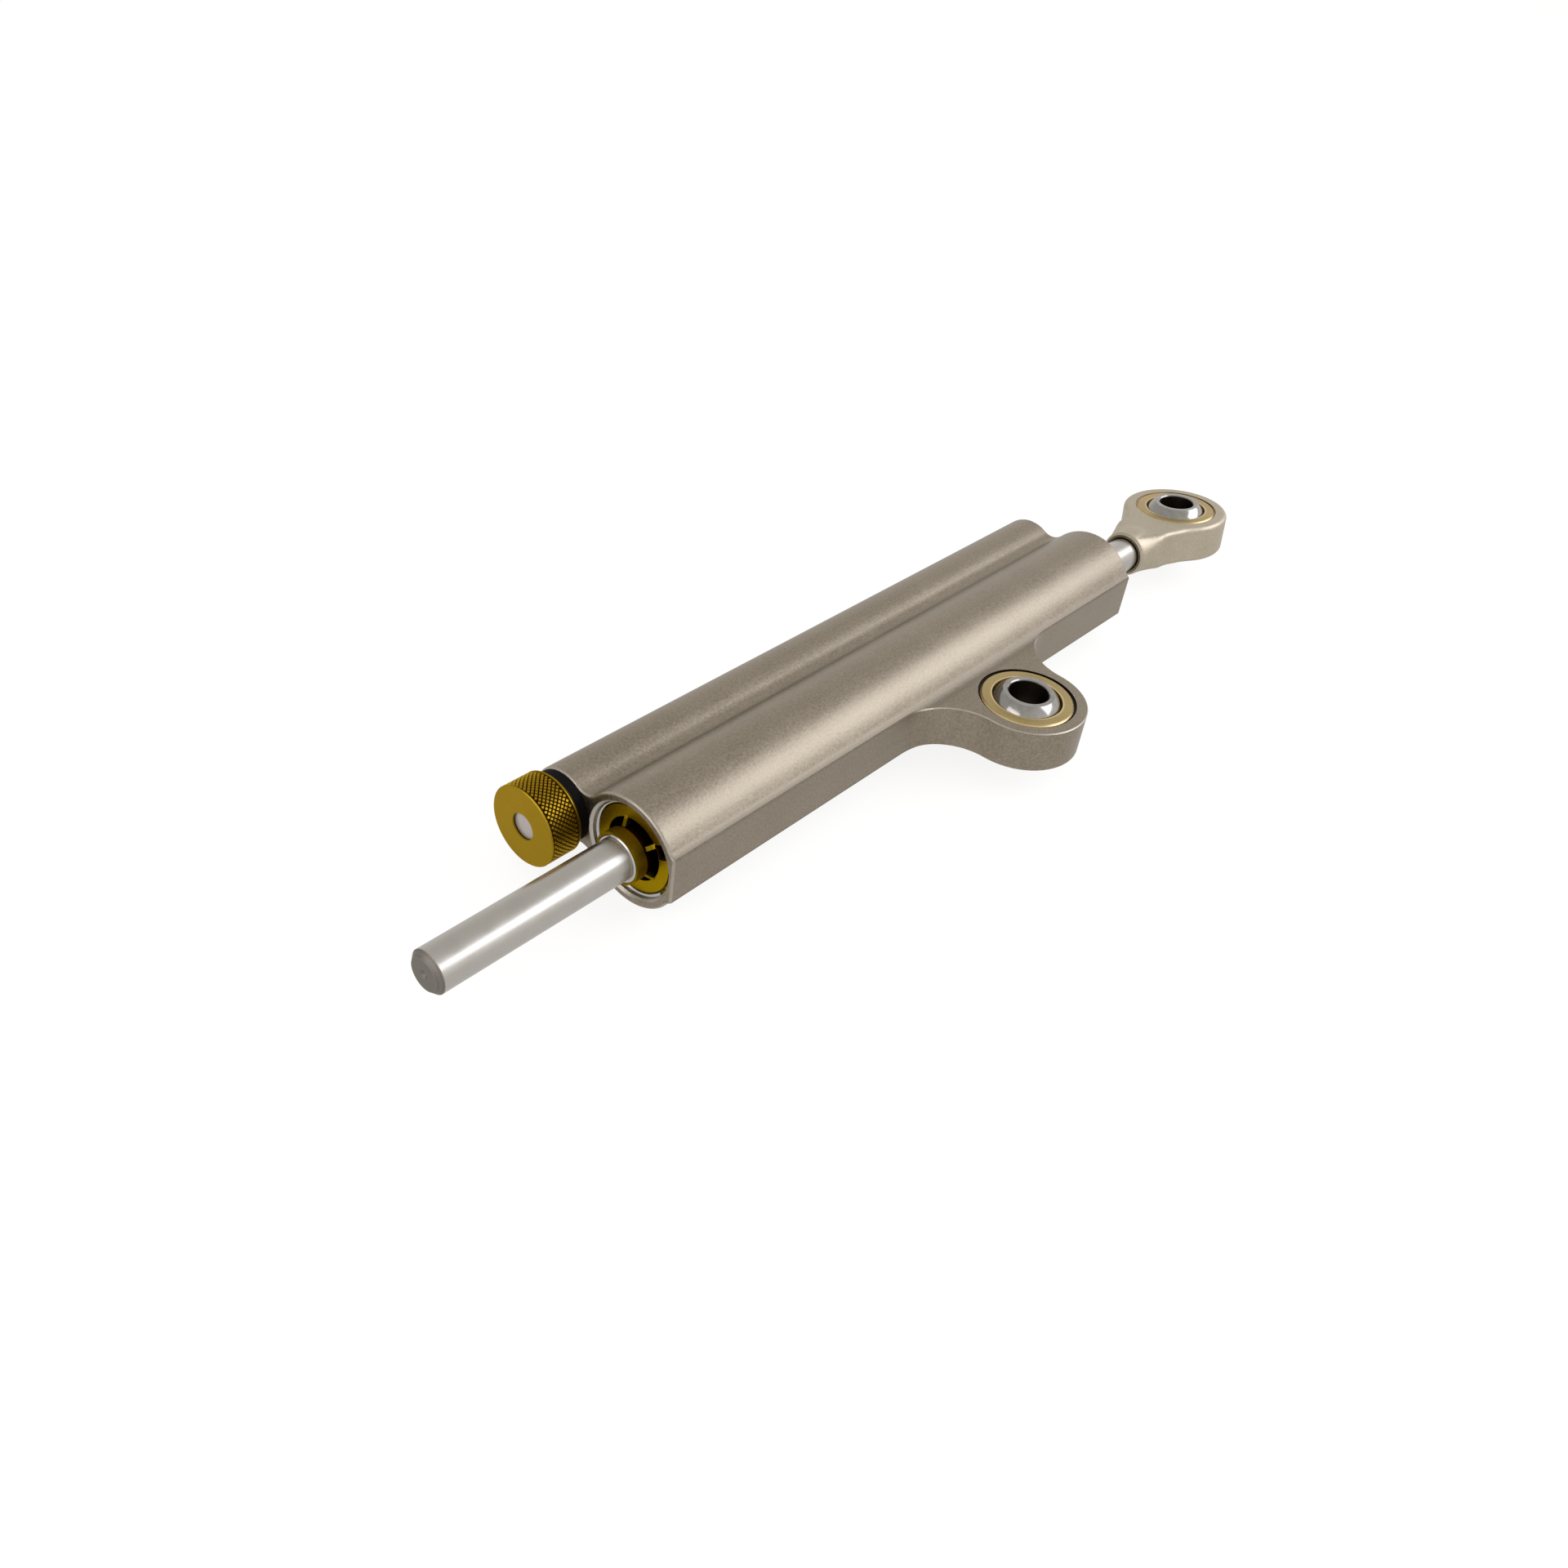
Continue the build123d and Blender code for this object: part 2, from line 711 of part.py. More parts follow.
def adjuster_housing():
    """The cartridge in the side bore. Its neck enters the knob and holds the click ball."""
    neck_front = knob_floor + neck_front_gap
    body_r = cartridge_r - seat_gap
    stem_r = spindle_d / 2 + slide_gap
    chamber_r = spindle_body_d / 2 + slide_gap
    chamber_begin = spindle_body_start - slide_gap
    chamber_stop = spindle_body_start + spindle_body_length + slide_gap
    guide_r = needle_guide_d / 2 + slide_gap
    groove_end = housing_groove_from_end + housing_groove_width
    groove_r = body_r - housing_groove_depth
    outline = [
        (neck_front, stem_r), (neck_front, neck_r), (0, neck_r), (0, body_r),
        (housing_groove_from_end, body_r), (housing_groove_from_end, groove_r),
        (groove_end, groove_r), (groove_end, body_r), (cartridge_depth - seat_gap, body_r),
        (cartridge_depth - seat_gap, guide_r), (chamber_stop, guide_r),
        (chamber_stop, chamber_r), (chamber_begin, chamber_r), (chamber_begin, stem_r),
    ]
    shape = turned(outline, near_x, side_y)
    pocket_x = on_side_axis(neck_front) - overrun
    pocket_r = detent_ball_d / 2 + slide_gap
    pocket = bar(detent_pocket_depth + overrun, pocket_r, pocket_x, side_y + click_circle_r)
    return shape - pocket


def housing_o_ring():
    middle = housing_groove_from_end + housing_groove_width / 2
    inner = cartridge_r - seat_gap - housing_groove_depth
    return o_ring(inner, cartridge_r, on_side_axis(middle), side_y)


def dust_ring():
    start = knob_back + dust_ring_gap
    return tube(-start - seat_gap, dust_ring_d / 2, neck_r + seat_gap, on_side_axis(start), side_y)


def detent_ball():
    tip = on_side_axis(knob_floor) + detent_rest_gap
    return Pos(tip + detent_ball_d / 2, side_y + click_circle_r, 0) * Sphere(detent_ball_d / 2)


def needle():
    """The needle screws in the spindle, and its flats keep it from turning."""
    start = spindle_body_start + spindle_body_length - nut_depth + needle_back_gap
    seat_face = seat_from_end - needle_travel - slide_gap
    cone_start = seat_face - needle_cone / 2
    tip = cone_start + needle_cone
    stem_r = needle_stem_d / 2
    thread_end = cartridge_depth - overrun
    outline = [
        (start, 0), (start, needle_thread_d / 2), (thread_end, needle_thread_d / 2),
        (thread_end, stem_r), (cone_start, stem_r), (tip, needle_tip_d / 2), (tip, 0),
    ]
    return turned(outline, near_x, side_y)


def needle_seat():
    start = on_side_axis(seat_from_end)
    return tube(seat_length, oil_way_d / 2 - seat_gap, seat_hole_d / 2, start, side_y)


def port_plugs():
    """Plugs that close the outer mouths of the two cross drillings."""
    plugs = []
    for x in port_places:
        start = side_y + side_tube_d / 2 - port_plug_depth - port_plug_length
        plug = extrude(Plane.XZ * Circle(port_plug_d / 2), amount=-port_plug_length)
        plugs.append(Pos(x, start + seat_gap, 0) * plug)
    return plugs[0] + plugs[1]


# Reservoir: floating piston, spring and end plug
floating_length = 5.0
floating_from_start = 4.0
floating_groove_width = 1.7
floating_groove_depth = 1.1
floating_cup_r = 2.6
floating_cup_depth = 2.0
plug_groove_width = 1.7
plug_groove_depth = 1.1
spring_wire_d = 0.9
spring_mean_r = 3.7
spring_turns = 5
spring_end_gap = 0.05

reservoir_r = reservoir_d / 2
floating_x = reservoir_x + floating_from_start
plug_x = far_x - plug_depth - plug_length


def sealed_bung(length, groove_width, groove_depth, x):
    """A short round bung with a seal groove round its middle."""
    r = reservoir_r - slide_gap
    groove = (length - groove_width) / 2
    outline = [
        (0, 0), (0, r), (groove, r), (groove, r - groove_depth),
        (groove + groove_width, r - groove_depth), (groove + groove_width, r),
        (length, r), (length, 0),
    ]
    return turned(outline, x, side_y)


def floating_piston():
    bung = sealed_bung(floating_length, floating_groove_width, floating_groove_depth, floating_x)
    return bung - bar(floating_cup_depth, floating_cup_r, floating_x, side_y)


def floating_o_ring():
    inner = reservoir_r - slide_gap - floating_groove_depth
    return o_ring(inner, reservoir_r, floating_x + floating_length / 2, side_y)


def end_plug():
    return sealed_bung(plug_length, plug_groove_width, plug_groove_depth, plug_x)


def end_plug_o_ring():
    inner = reservoir_r - slide_gap - plug_groove_depth
    return o_ring(inner, reservoir_r, plug_x + plug_length / 2, side_y)


def end_plug_ring():
    return wire_ring(
        plug_ring_mean_r, plug_wire_d / 2, snap_gap_angle, snap_start_angle, plug_ring_x, side_y
    )


def biarc(start, start_way, end, end_way):
    """Two arcs that leave start and reach end along the given directions."""
    chord = end - start
    ways = start_way + end_way
    spread = 2 * (1 - start_way.dot(end_way))
    along = chord.dot(ways)
    reach = (math.sqrt(along**2 + spread * chord.dot(chord)) - along) / spread
    joint = (start + end + (start_way - end_way) * reach) / 2
    first = TangentArc(start, joint, tangent=start_way)
    second = TangentArc(joint, end, tangent=first % 1)
    return [first.edge(), second.edge()]


def wound_spring(mean_r, wire_d, turns, start, end, y):
    """A round-wire spring about X: quarter turns of two arcs each, swept as one tube."""
    rise = end - start - wire_d
    quarters = 4 * turns

    def place(number):
        angle = number * math.pi / 2
        x = start + wire_d / 2 + rise * number / quarters
        return Vector(x, y + mean_r * math.cos(angle), mean_r * math.sin(angle))

    def way(number):
        angle = number * math.pi / 2
        slope = rise / (turns * 2 * math.pi * mean_r)
        return Vector(slope, -math.sin(angle), math.cos(angle)).normalized()

    edges = []
    for number in range(quarters):
        edges += biarc(place(number), way(number), place(number + 1), way(number + 1))
    path = Wire(edges)
    section = Plane(origin=place(0), z_dir=way(0)) * Circle(wire_d / 2)
    gap = rise / turns - wire_d
    print(f"spring of {turns} turns: least gap between its curls {gap:.3f} mm")
    return sweep(section, path=path)


def reservoir_spring():
    start = floating_x + floating_length + spring_end_gap
    end = plug_x - spring_end_gap
    return wound_spring(spring_mean_r, spring_wire_d, spring_turns, start, end, side_y)


def detent_spring():
    ball_back = on_side_axis(knob_floor) + detent_rest_gap + detent_ball_d
    pocket_end = on_side_axis(knob_floor + neck_front_gap) + detent_pocket_depth
    mean_r = (detent_ball_d - detent_wire_d) / 2 - slide_gap
    return wound_spring(
        mean_r, detent_wire_d, detent_turns,
        ball_back + spring_end_gap, pocket_end - spring_end_gap, side_y + click_circle_r,
    )


pieces = {
    "body": body(),
    "near_seal_head": seal_head(),
    "far_seal_head": at_far_end(seal_head()),
    "near_snap_ring": snap_ring(),
    "far_snap_ring": at_far_end(snap_ring()),
    "near_head_o_ring": head_o_ring(),
    "far_head_o_ring": at_far_end(head_o_ring()),
    "near_guide_bush": guide_bush(),
    "far_guide_bush": at_far_end(guide_bush()),
    "near_rod_seal": rod_seal(),
    "far_rod_seal": at_far_end(rod_seal()),
    "near_rod_wiper": rod_wiper(),
    "far_rod_wiper": at_far_end(rod_wiper()),
    "lug_race": bearing_race(),
    "lug_ball": bearing_ball(),
    "rod": rod(),
    "piston": piston(),
    "piston_seal": piston_seal(),
    "piston_ring": piston_ring(),
    "ring_energiser": ring_energiser(),
    "stop_sleeves": stop_sleeves(),
    "rod_clips": rod_clips(),
    "bump_rings": bump_rings(),
    "rod_end_housing": rod_end_housing(),
    "rod_end_race": rod_end_place(bearing_race()),
    "rod_end_ball": rod_end_place(bearing_ball()),
    "knob": knob(),
    "knob_plug": knob_plug(),
    "knob_screw": knob_screw(),
    "adjuster_spindle": adjuster_spindle(),
    "spindle_o_ring": spindle_o_ring(),
    "adjuster_housing": adjuster_housing(),
    "housing_o_ring": housing_o_ring(),
    "dust_ring": dust_ring(),
    "detent_ball": detent_ball(),
    "detent_spring": detent_spring(),
    "needle": needle(),
    "needle_seat": needle_seat(),
    "port_plugs": port_plugs(),
    "floating_piston": floating_piston(),
    "floating_o_ring": floating_o_ring(),
    "reservoir_spring": reservoir_spring(),
    "end_plug": end_plug(),
    "end_plug_o_ring": end_plug_o_ring(),
    "end_plug_ring": end_plug_ring(),
}

os.makedirs("parts", exist_ok=True)
for name, piece in pieces.items():
    export_step(piece, f"parts/{name}.step")
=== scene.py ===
import math

import bmesh
import bpy
from mathutils import Matrix, Vector


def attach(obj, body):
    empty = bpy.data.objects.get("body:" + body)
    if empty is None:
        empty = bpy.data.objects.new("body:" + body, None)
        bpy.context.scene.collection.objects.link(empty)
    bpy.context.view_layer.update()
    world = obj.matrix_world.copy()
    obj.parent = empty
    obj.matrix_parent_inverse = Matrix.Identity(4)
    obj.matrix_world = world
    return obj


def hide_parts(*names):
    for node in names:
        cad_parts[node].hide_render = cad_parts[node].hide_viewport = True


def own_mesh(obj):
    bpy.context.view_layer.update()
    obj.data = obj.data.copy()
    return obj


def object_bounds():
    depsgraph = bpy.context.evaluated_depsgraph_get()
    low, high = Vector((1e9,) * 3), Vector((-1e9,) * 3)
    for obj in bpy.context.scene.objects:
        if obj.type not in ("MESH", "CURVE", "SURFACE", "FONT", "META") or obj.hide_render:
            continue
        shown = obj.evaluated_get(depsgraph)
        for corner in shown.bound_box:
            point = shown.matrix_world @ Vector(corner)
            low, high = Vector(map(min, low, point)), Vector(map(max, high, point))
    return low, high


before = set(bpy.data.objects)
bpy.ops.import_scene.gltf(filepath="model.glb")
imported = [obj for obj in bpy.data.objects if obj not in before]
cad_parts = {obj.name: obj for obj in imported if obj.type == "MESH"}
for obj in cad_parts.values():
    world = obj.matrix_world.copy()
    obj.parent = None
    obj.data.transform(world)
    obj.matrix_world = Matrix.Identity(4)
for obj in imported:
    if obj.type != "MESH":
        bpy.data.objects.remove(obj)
cad_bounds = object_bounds()
scene = bpy.context.scene
scene.view_settings.view_transform = "Standard"


# Camera. A product shot from the rod's tip, 38 degrees above the rod, with the camera
# rolled a little so that the damper rises from lower left to upper right.
camera_place = Vector((-0.22191, -0.10594, 0.16430))
turn, tilt, roll = math.radians(36.86), math.radians(37.97), math.radians(8.10)
ahead = Vector((math.cos(tilt) * math.cos(turn), math.cos(tilt) * math.sin(turn), -math.sin(tilt)))
level_way = ahead.cross(Vector((0, 0, 1))).normalized()
upright = level_way.cross(ahead)
right = math.cos(roll) * level_way + math.sin(roll) * upright
up = -math.sin(roll) * level_way + math.cos(roll) * upright
photo_width = 1920
sensor_width = 36.0
focal_pixels = 1784.05
lens_axis_x, lens_axis_y = 942.42, 948.98
lens_data = bpy.data.cameras.new("camera")
lens_data.sensor_fit = "HORIZONTAL"
lens_data.sensor_width = sensor_width
lens_data.lens = focal_pixels / photo_width * sensor_width
lens_data.shift_x = (photo_width / 2 - lens_axis_x) / photo_width
lens_data.shift_y = (lens_axis_y - photo_width / 2) / photo_width
lens_data.clip_start = 0.01
camera = bpy.data.objects.new("camera", lens_data)
view_axes = Matrix((right, up, -ahead)).transposed().to_4x4()
camera.matrix_world = Matrix.Translation(camera_place) @ view_axes
scene.collection.objects.link(camera)
scene.camera = camera


# Studio. A white room: the camera sees it plain white, and the metal sees it white with a
# soft fall-off overhead. Two large soft boxes give the metal its broad bright bands.
def add(tree, kind, *sources, **settings):
    """Add a shader node. Sources feed its inputs in order, and None leaves one alone."""
    new = tree.nodes.new("ShaderNode" + kind)
    for name, value in settings.items():
        setattr(new, name, value)
    for socket, source in zip(new.inputs, sources):
        if isinstance(source, bpy.types.NodeSocket):
            tree.links.new(source, socket)
        elif source is not None:
            socket.default_value = source
    return new.outputs[0] if new.outputs else None


def blend_color(tree, factor, first, second):
    """The colour between first, where the factor is 0, and second, where it is 1."""
    new = tree.nodes.new("ShaderNodeMix")
    new.data_type = "RGBA"
    for index, source in ((0, factor), (6, first), (7, second)):
        if isinstance(source, bpy.types.NodeSocket):
            tree.links.new(source, new.inputs[index])
        else:
            new.inputs[index].default_value = (*source, 1) if index else source
    return new.outputs[2]


def seen_by_eye_or_metal(tree):
    """1 for rays from the camera, from metal and through glass, and 0 for other light."""
    path = tree.nodes.new("ShaderNodeLightPath")
    both = add(tree, "Math", path.outputs["Is Camera Ray"], path.outputs["Is Glossy Ray"],
               operation="MAXIMUM")
    return add(tree, "Math", both, path.outputs["Is Transmission Ray"], operation="MAXIMUM")


world = bpy.data.worlds.new("white room")
world.use_nodes = True
scene.world = world
room = world.node_tree
room.nodes.clear()
room_light = add(room, "Background", (1.0, 0.975, 0.94, 1), 0.62)
plain_white = add(room, "Background", (1, 1, 1, 1), 1.0)
way = room.nodes.new("ShaderNodeTexCoord").outputs["Generated"]
add(room, "VectorMath", way, (-0.30, 0.45, 0.84), operation="DOT_PRODUCT")
overhead = room.nodes[-1].outputs["Value"]
fall_off = add(room, "MapRange", overhead, -0.2, 0.9, 0.0, 1.0, interpolation_type="SMOOTHSTEP")
room_color = blend_color(room, fall_off, (1.0, 0.98, 0.955), (0.66, 0.645, 0.62))
metal_view = add(room, "Background", room_color, 1.0)
path = room.nodes.new("ShaderNodeLightPath")
reflected = add(room, "MixShader", seen_by_eye_or_metal(room), room_light, metal_view)
seen = add(room, "MixShader", path.outputs["Is Camera Ray"], reflected, plain_white)
add(room, "OutputWorld", seen)


def soft_box(name, place, target, width, height, power, color):
    """A rectangular lamp at a place, turned towards a target."""
    data = bpy.data.lights.new(name, "AREA")
    data.shape = "RECTANGLE"
    data.size = width
    data.size_y = height
    data.energy = power
    data.color = color
    lamp = bpy.data.objects.new(name, data)
    back = (Vector(place) - Vector(target)).normalized()
    side = Vector((0, 0, 1)).cross(back).normalized()
    axes = Matrix((side, back.cross(side), back)).transposed().to_4x4()
    lamp.matrix_world = Matrix.Translation(place) @ axes
    scene.collection.objects.link(lamp)


soft_box("side box", (0.52, -0.436, 0.512), (0.0, 0.02, 0), 0.80, 0.47, 2.75, (0.94, 0.985, 1.09))
soft_box("front box", (-0.62, 0.10, 0.26), (-0.05, 0.02, 0), 0.50, 0.40, 1.0, (1.0, 0.985, 0.96))


# Floor. A matt white sheet under the damper. It catches the damper's soft shadow, and the
# camera and the metal see the lit part of it as white as the room.
floor_half_width = 2.5
floor_gap = 0.0002
floor_mesh = bpy.data.meshes.new("floor")
sheet = bmesh.new()
bmesh.ops.create_grid(sheet, x_segments=1, y_segments=1, size=floor_half_width)
bmesh.ops.translate(sheet, verts=sheet.verts, vec=(0, 0, cad_bounds[0][2] - floor_gap))
sheet.to_mesh(floor_mesh)
sheet.free()
floor = bpy.data.objects.new("floor", floor_mesh)
scene.collection.objects.link(floor)
floor_paint = bpy.data.materials.new("white sheet")
floor_paint.use_nodes = True
tree = floor_paint.node_tree
tree.nodes.clear()
matt = add(tree, "BsdfDiffuse", (0.80, 0.79, 0.77, 1))
bright = add(tree, "Emission", (1, 1, 1, 1), 1.22)
softer = add(tree, "Emission", (1, 0.985, 0.965, 1), 0.85)
path = tree.nodes.new("ShaderNodeLightPath")
glow = add(tree, "MixShader", path.outputs["Is Camera Ray"], softer, bright)
lifted = add(tree, "MixShader", 0.70, matt, glow)
add(tree, "OutputMaterial", add(tree, "MixShader", seen_by_eye_or_metal(tree), matt, lifted))
floor_mesh.materials.append(floor_paint)


# Body. One block of aluminium with the barrel, the side tube and the lug, bored, milled and
# bead blasted to a warm matt grey. Blasting leaves an even grain, and handling leaves faint
# streaks along it. The bores are cut after the blasting, so they are lighter. A painted
# highlight brightens the bore's mouth and the body's edges, and painted shade darkens the
# barrel's foot on the lug and the gap round the lug's race.
rod_y = 0.022
side_y = 0.0384
body_middle_x = -0.0142
body_half_length = 0.0735
across_x = (0, 1, 1)
across_z = (1, 1, 0)
flank_y = 0.0115


def new_group(name, inputs, outputs):
    """An empty node group with named sockets, and the nodes that hold them."""
    tree = bpy.data.node_groups.new(name, "ShaderNodeTree")
    for socket_name, kind in inputs:
        tree.interface.new_socket(socket_name, in_out="INPUT", socket_type="NodeSocket" + kind)
    for socket_name in outputs:
        tree.interface.new_socket(socket_name, in_out="OUTPUT", socket_type="NodeSocketFloat")
    return tree, tree.nodes.new("NodeGroupInput").outputs, tree.nodes.new("NodeGroupOutput").inputs


def use_group(tree, group, *sources):
    """A group's node in a material, with its inputs filled in order. Gives its outputs."""
    node = tree.nodes.new("ShaderNodeGroup")
    node.node_tree = group
    for socket, source in zip(node.inputs, sources):
        if isinstance(source, bpy.types.NodeSocket):
            tree.links.new(source, socket)
        else:
            socket.default_value = source
    return node.outputs


# grain: the skin of a blasted or forged surface, with mottling and lengthwise streaks
grain, ins, outs = new_group("grain", (
    ("Place", "Vector"), ("Size", "Float"), ("Mottling", "Float"), ("Streaks", "Float"),
), ("Tone", "Height"))
per_metre = add(grain, "Math", 1.0, ins["Size"], operation="DIVIDE")
fine = add(grain, "TexNoise", ins["Place"], None, per_metre, 3.0, 0.7)
cloud = add(grain, "TexNoise", ins["Place"], None, 90.0, 3.0, 0.6)
long_place = add(grain, "VectorMath", ins["Place"], (0.03, 1, 1), operation="MULTIPLY")
long_lines = add(grain, "TexNoise", long_place, None, 900.0, 3.0, 0.6)
tone = add(grain, "Math", fine, 2.4, -0.7, operation="MULTIPLY_ADD")
for share, source in ((ins["Mottling"], cloud), (ins["Streaks"], long_lines)):
    centred = add(grain, "Math", source, 0.5, operation="SUBTRACT")
    tone = add(grain, "Math", centred, share, tone, operation="MULTIPLY_ADD")
grain.links.new(tone, outs["Tone"])
grain.links.new(fine, outs["Height"])

# round place: how far a point lies from a piece's own axis
round_place, ins, outs = new_group("round place", (
    ("Place", "Vector"), ("Centre", "Vector"), ("Across", "Vector"),
), ("Radius", "Along"))
offset = add(round_place, "VectorMath", ins["Place"], ins["Centre"], operation="SUBTRACT")
flat = add(round_place, "VectorMath", offset, ins["Across"], operation="MULTIPLY")
add(round_place, "VectorMath", flat, operation="LENGTH")
round_place.links.new(round_place.nodes[-1].outputs["Value"], outs["Radius"])
rest_of = add(round_place, "VectorMath", offset, flat, operation="SUBTRACT")
add(round_place, "VectorMath", rest_of, (1, 1, 1), operation="DOT_PRODUCT")
round_place.links.new(round_place.nodes[-1].outputs["Value"], outs["Along"])


def between(tree, value, low, high, soft=0.00003):
    """1 where the value lies between low and high, with soft edges, and 0 elsewhere."""
    rise = add(tree, "MapRange", value, low - soft, low + soft, 0.0, 1.0)
    fall = add(tree, "MapRange", value, high - soft, high + soft, 1.0, 0.0)
    return add(tree, "Math", rise, fall, operation="MULTIPLY")


def parts_of(tree, vector):
    """The x, y and z of a vector."""
    split = tree.nodes.new("ShaderNodeSeparateXYZ")
    tree.links.new(vector, split.inputs[0])
    return tuple(split.outputs)


def new_paint(name, roughness, metallic=1.0):
    """A new finish: its node tree, its shader and the place on the piece."""
    paint = bpy.data.materials.new(name)
    paint.use_nodes = True
    tree = paint.node_tree
    shader = tree.nodes["Principled BSDF"]
    shader.inputs["Roughness"].default_value = roughness
    shader.inputs["Metallic"].default_value = metallic
    place = tree.nodes.new("ShaderNodeTexCoord").outputs["Object"]
    return paint, tree, shader, place


def feed(tree, shader, **sources):
    """Feed the shader's inputs, named with a low line where the socket has a space."""
    for name, source in sources.items():
        tree.links.new(source, shader.inputs[name.replace("_", " ")])


def relief(tree, shader, height, depth, strength=1.0):
    """Raise the surface by this height map, whose full range is depth metres."""
    bump = tree.nodes.new("ShaderNodeBump")
    bump.inputs["Strength"].default_value = strength
    bump.inputs["Distance"].default_value = depth
    tree.links.new(height, bump.inputs["Height"])
    tree.links.new(bump.outputs["Normal"], shader.inputs["Normal"])


def dress(paint, *names):
    """Give CAD nodes this finish."""
    for name in names:
        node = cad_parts[name]
        node.data.materials.clear()
        node.data.materials.append(paint)


bore_radius = 0.0092
bore_mouth = 0.0004
lug_top = 0.0045
flank_highlight_low, flank_highlight_high = 0.00312, 0.0039
end_highlight_width = 0.00055
foot_start_y, foot_end_y = 0.0101, 0.0125
foot_top = 0.0056
shadow_ring_inner, shadow_ring_outer = 0.0093, 0.00992
shadow_ring_top = 0.00442
blasted, tree, shader, place = new_paint("blasted aluminium", 0.40)
tone, height = use_group(tree, grain, place, 0.00050, 0.6, 0.35)
skin = blend_color(tree, tone, (0.236, 0.200, 0.154), (0.372, 0.320, 0.252))
radius, along = use_group(tree, round_place, place, (body_middle_x, rod_y, 0), across_x)
# the bore, machined after blasting, is lighter; the bright ring at its mouth is a painted highlight
machined_bore_and_mouth_highlight = between(tree, radius, -bore_radius, bore_radius + bore_mouth)
facing = tree.nodes.new("ShaderNodeNewGeometry").outputs["Normal"]
facing_x, _, facing_z = parts_of(tree, facing)
_, place_y, place_z = parts_of(tree, place)
# painted highlights: bright lines on the sloped faces along the lug's and flank's edges and at the
# body's ends
sideways = between(tree, add(tree, "Math", facing_z, operation="ABSOLUTE"), 0.35, 0.95, 0.02)
height_off = add(tree, "Math", place_z, operation="ABSOLUTE")
on_lug = add(tree, "Math", between(tree, place_y, -1.0, flank_y - 0.00006),
             between(tree, height_off, -1.0, lug_top + 0.00002, 0.00002), operation="MULTIPLY")
lug_edge_highlight = add(tree, "Math", sideways, on_lug, operation="MULTIPLY")
flank_highlight_line = add(tree, "Math", between(tree, height_off, flank_highlight_low, flank_highlight_high, 0.00005),
                 between(tree, place_y, flank_y - 0.00004, flank_y + 0.00022, 0.00002),
                 operation="MULTIPLY")
flank_highlight_line = add(tree, "Math", flank_highlight_line, sideways, operation="MULTIPLY")
from_middle = add(tree, "Math", along, operation="ABSOLUTE")
near_end = between(tree, from_middle, body_half_length - end_highlight_width, 1.0)
turned_away = between(tree, add(tree, "Math", facing_x, operation="ABSOLUTE"), 0.2, 0.97, 0.02)
end_edge_highlight = add(tree, "Math", near_end, turned_away, operation="MULTIPLY")
faint_flank_highlight = add(tree, "Math", flank_highlight_line, 0.25, operation="MULTIPLY")
long_edge_highlights = add(tree, "Math", lug_edge_highlight, faint_flank_highlight, operation="MAXIMUM")
painted_edge_highlights = add(tree, "Math", add(tree, "Math", end_edge_highlight, 0.45, operation="MULTIPLY"),
                add(tree, "Math", long_edge_highlights, 0.55, operation="MULTIPLY"), operation="MAXIMUM")
bright = add(tree, "Math", painted_edge_highlights, machined_bore_and_mouth_highlight, operation="MAXIMUM")
# painted shade: the barrel's foot on the lug is darkened where shade falls in the fillet
foot_shade = add(tree, "Math", between(tree, place_y, foot_start_y, foot_end_y, 0.0005),
           between(tree, height_off, lug_top + 0.00002, foot_top, 0.0003), operation="MULTIPLY")
painted_foot_shade = add(tree, "Math", foot_shade, 0.6, operation="MULTIPLY")
skin = blend_color(tree, painted_foot_shade, skin, (0.10, 0.085, 0.065))
# the light colour of the painted highlights on the edges and the bore's mouth, and of the lighter
# machined bore
metal = blend_color(tree, bright, skin, (0.58, 0.54, 0.48))
from_lug = use_group(tree, round_place, place, (0, 0, 0), across_z)[0]
# painted shadow: a near black ring in the shallow gap round the lug's race
painted_recess_shade = add(tree, "Math", between(tree, from_lug, shadow_ring_inner, shadow_ring_outer),
           between(tree, height_off, -1.0, shadow_ring_top), operation="MULTIPLY")
feed(tree, shader, Base_Color=blend_color(tree, painted_recess_shade, metal, (0.012, 0.009, 0.006)))
rough = add(tree, "MapRange", tone, 0.2, 0.8, 0.35, 0.43)
feed(tree, shader, Roughness=rough)
relief(tree, shader, height, 0.00006, 0.55)
dress(blasted, "body")


# Port plugs. Two short steel pins, pressed into the outer mouths of the cross drillings
# between side tube and barrel, then ground flush and left bare.
bare_steel, tree, shader, place = new_paint("turned steel", 0.30)
tone, height = use_group(tree, grain, place, 0.00012, 0.5, 0.4)
feed(tree, shader, Base_Color=blend_color(tree, tone, (0.26, 0.245, 0.22), (0.40, 0.38, 0.35)))
relief(tree, shader, height, 0.00001, 0.4)
dress(bare_steel, "port_plugs")


# Lug bearing race. A turned bronze ring pressed into the lug, olive where the tool has
# passed, with a painted highlight on its inner and outer corners and painted shade in its bore.
race_inner_radius = 0.00715
race_outer_radius = 0.0095


